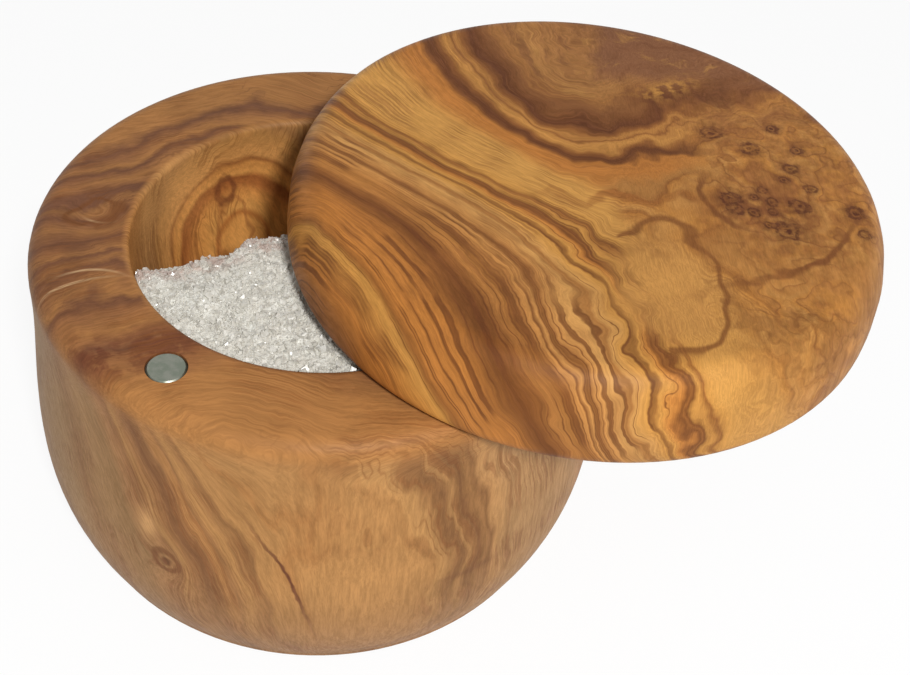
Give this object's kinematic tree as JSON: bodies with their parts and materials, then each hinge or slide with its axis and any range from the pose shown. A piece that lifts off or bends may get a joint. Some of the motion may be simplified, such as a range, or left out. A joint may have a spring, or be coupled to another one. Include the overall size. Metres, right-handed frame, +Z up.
{
  "type": "salt keeper",
  "caption": "Round turned wooden salt keeper with a hollowed bowl and a thick disc lid that swivels on an upright pin in the rim.",
  "frame": {"origin": "centre of the base, on the surface that the keeper stands on", "axes": "+Z up along the body's axis, +X the way the lid is swung out, -Y the front, where the rim magnet is"},
  "size_m": [0.1609, 0.1157, 0.0852],
  "materials": {
    "body_wood": "satin oiled",
    "lid_wood": "satin oiled",
    "pin_steel": "ground",
    "magnet_plating": "nickel plated, dulled",
    "cured_glue": "gloss",
    "coarse_salt": "loose coarse crystals"
  },
  "bodies": {
    "base_body": {"body": "body_wood", "pivot_pin": "pin_steel", "pivot_pin_glue": "cured_glue", "body_magnet": "magnet_plating", "body_magnet_glue": "cured_glue", "salt": "coarse_salt"},
    "lid_body": {"lid": "lid_wood", "lid_magnet": "magnet_plating", "lid_magnet_glue": "cured_glue"}
  },
  "joints": [
    {"name": "lid_swivel", "type": "hinge", "parent": "base_body", "child": "lid_body", "pos_m": [0.02616, 0.03735, 0.0668], "axis": [0, 0, 1], "range_deg": [-63.5, 296.5]}
  ]
}
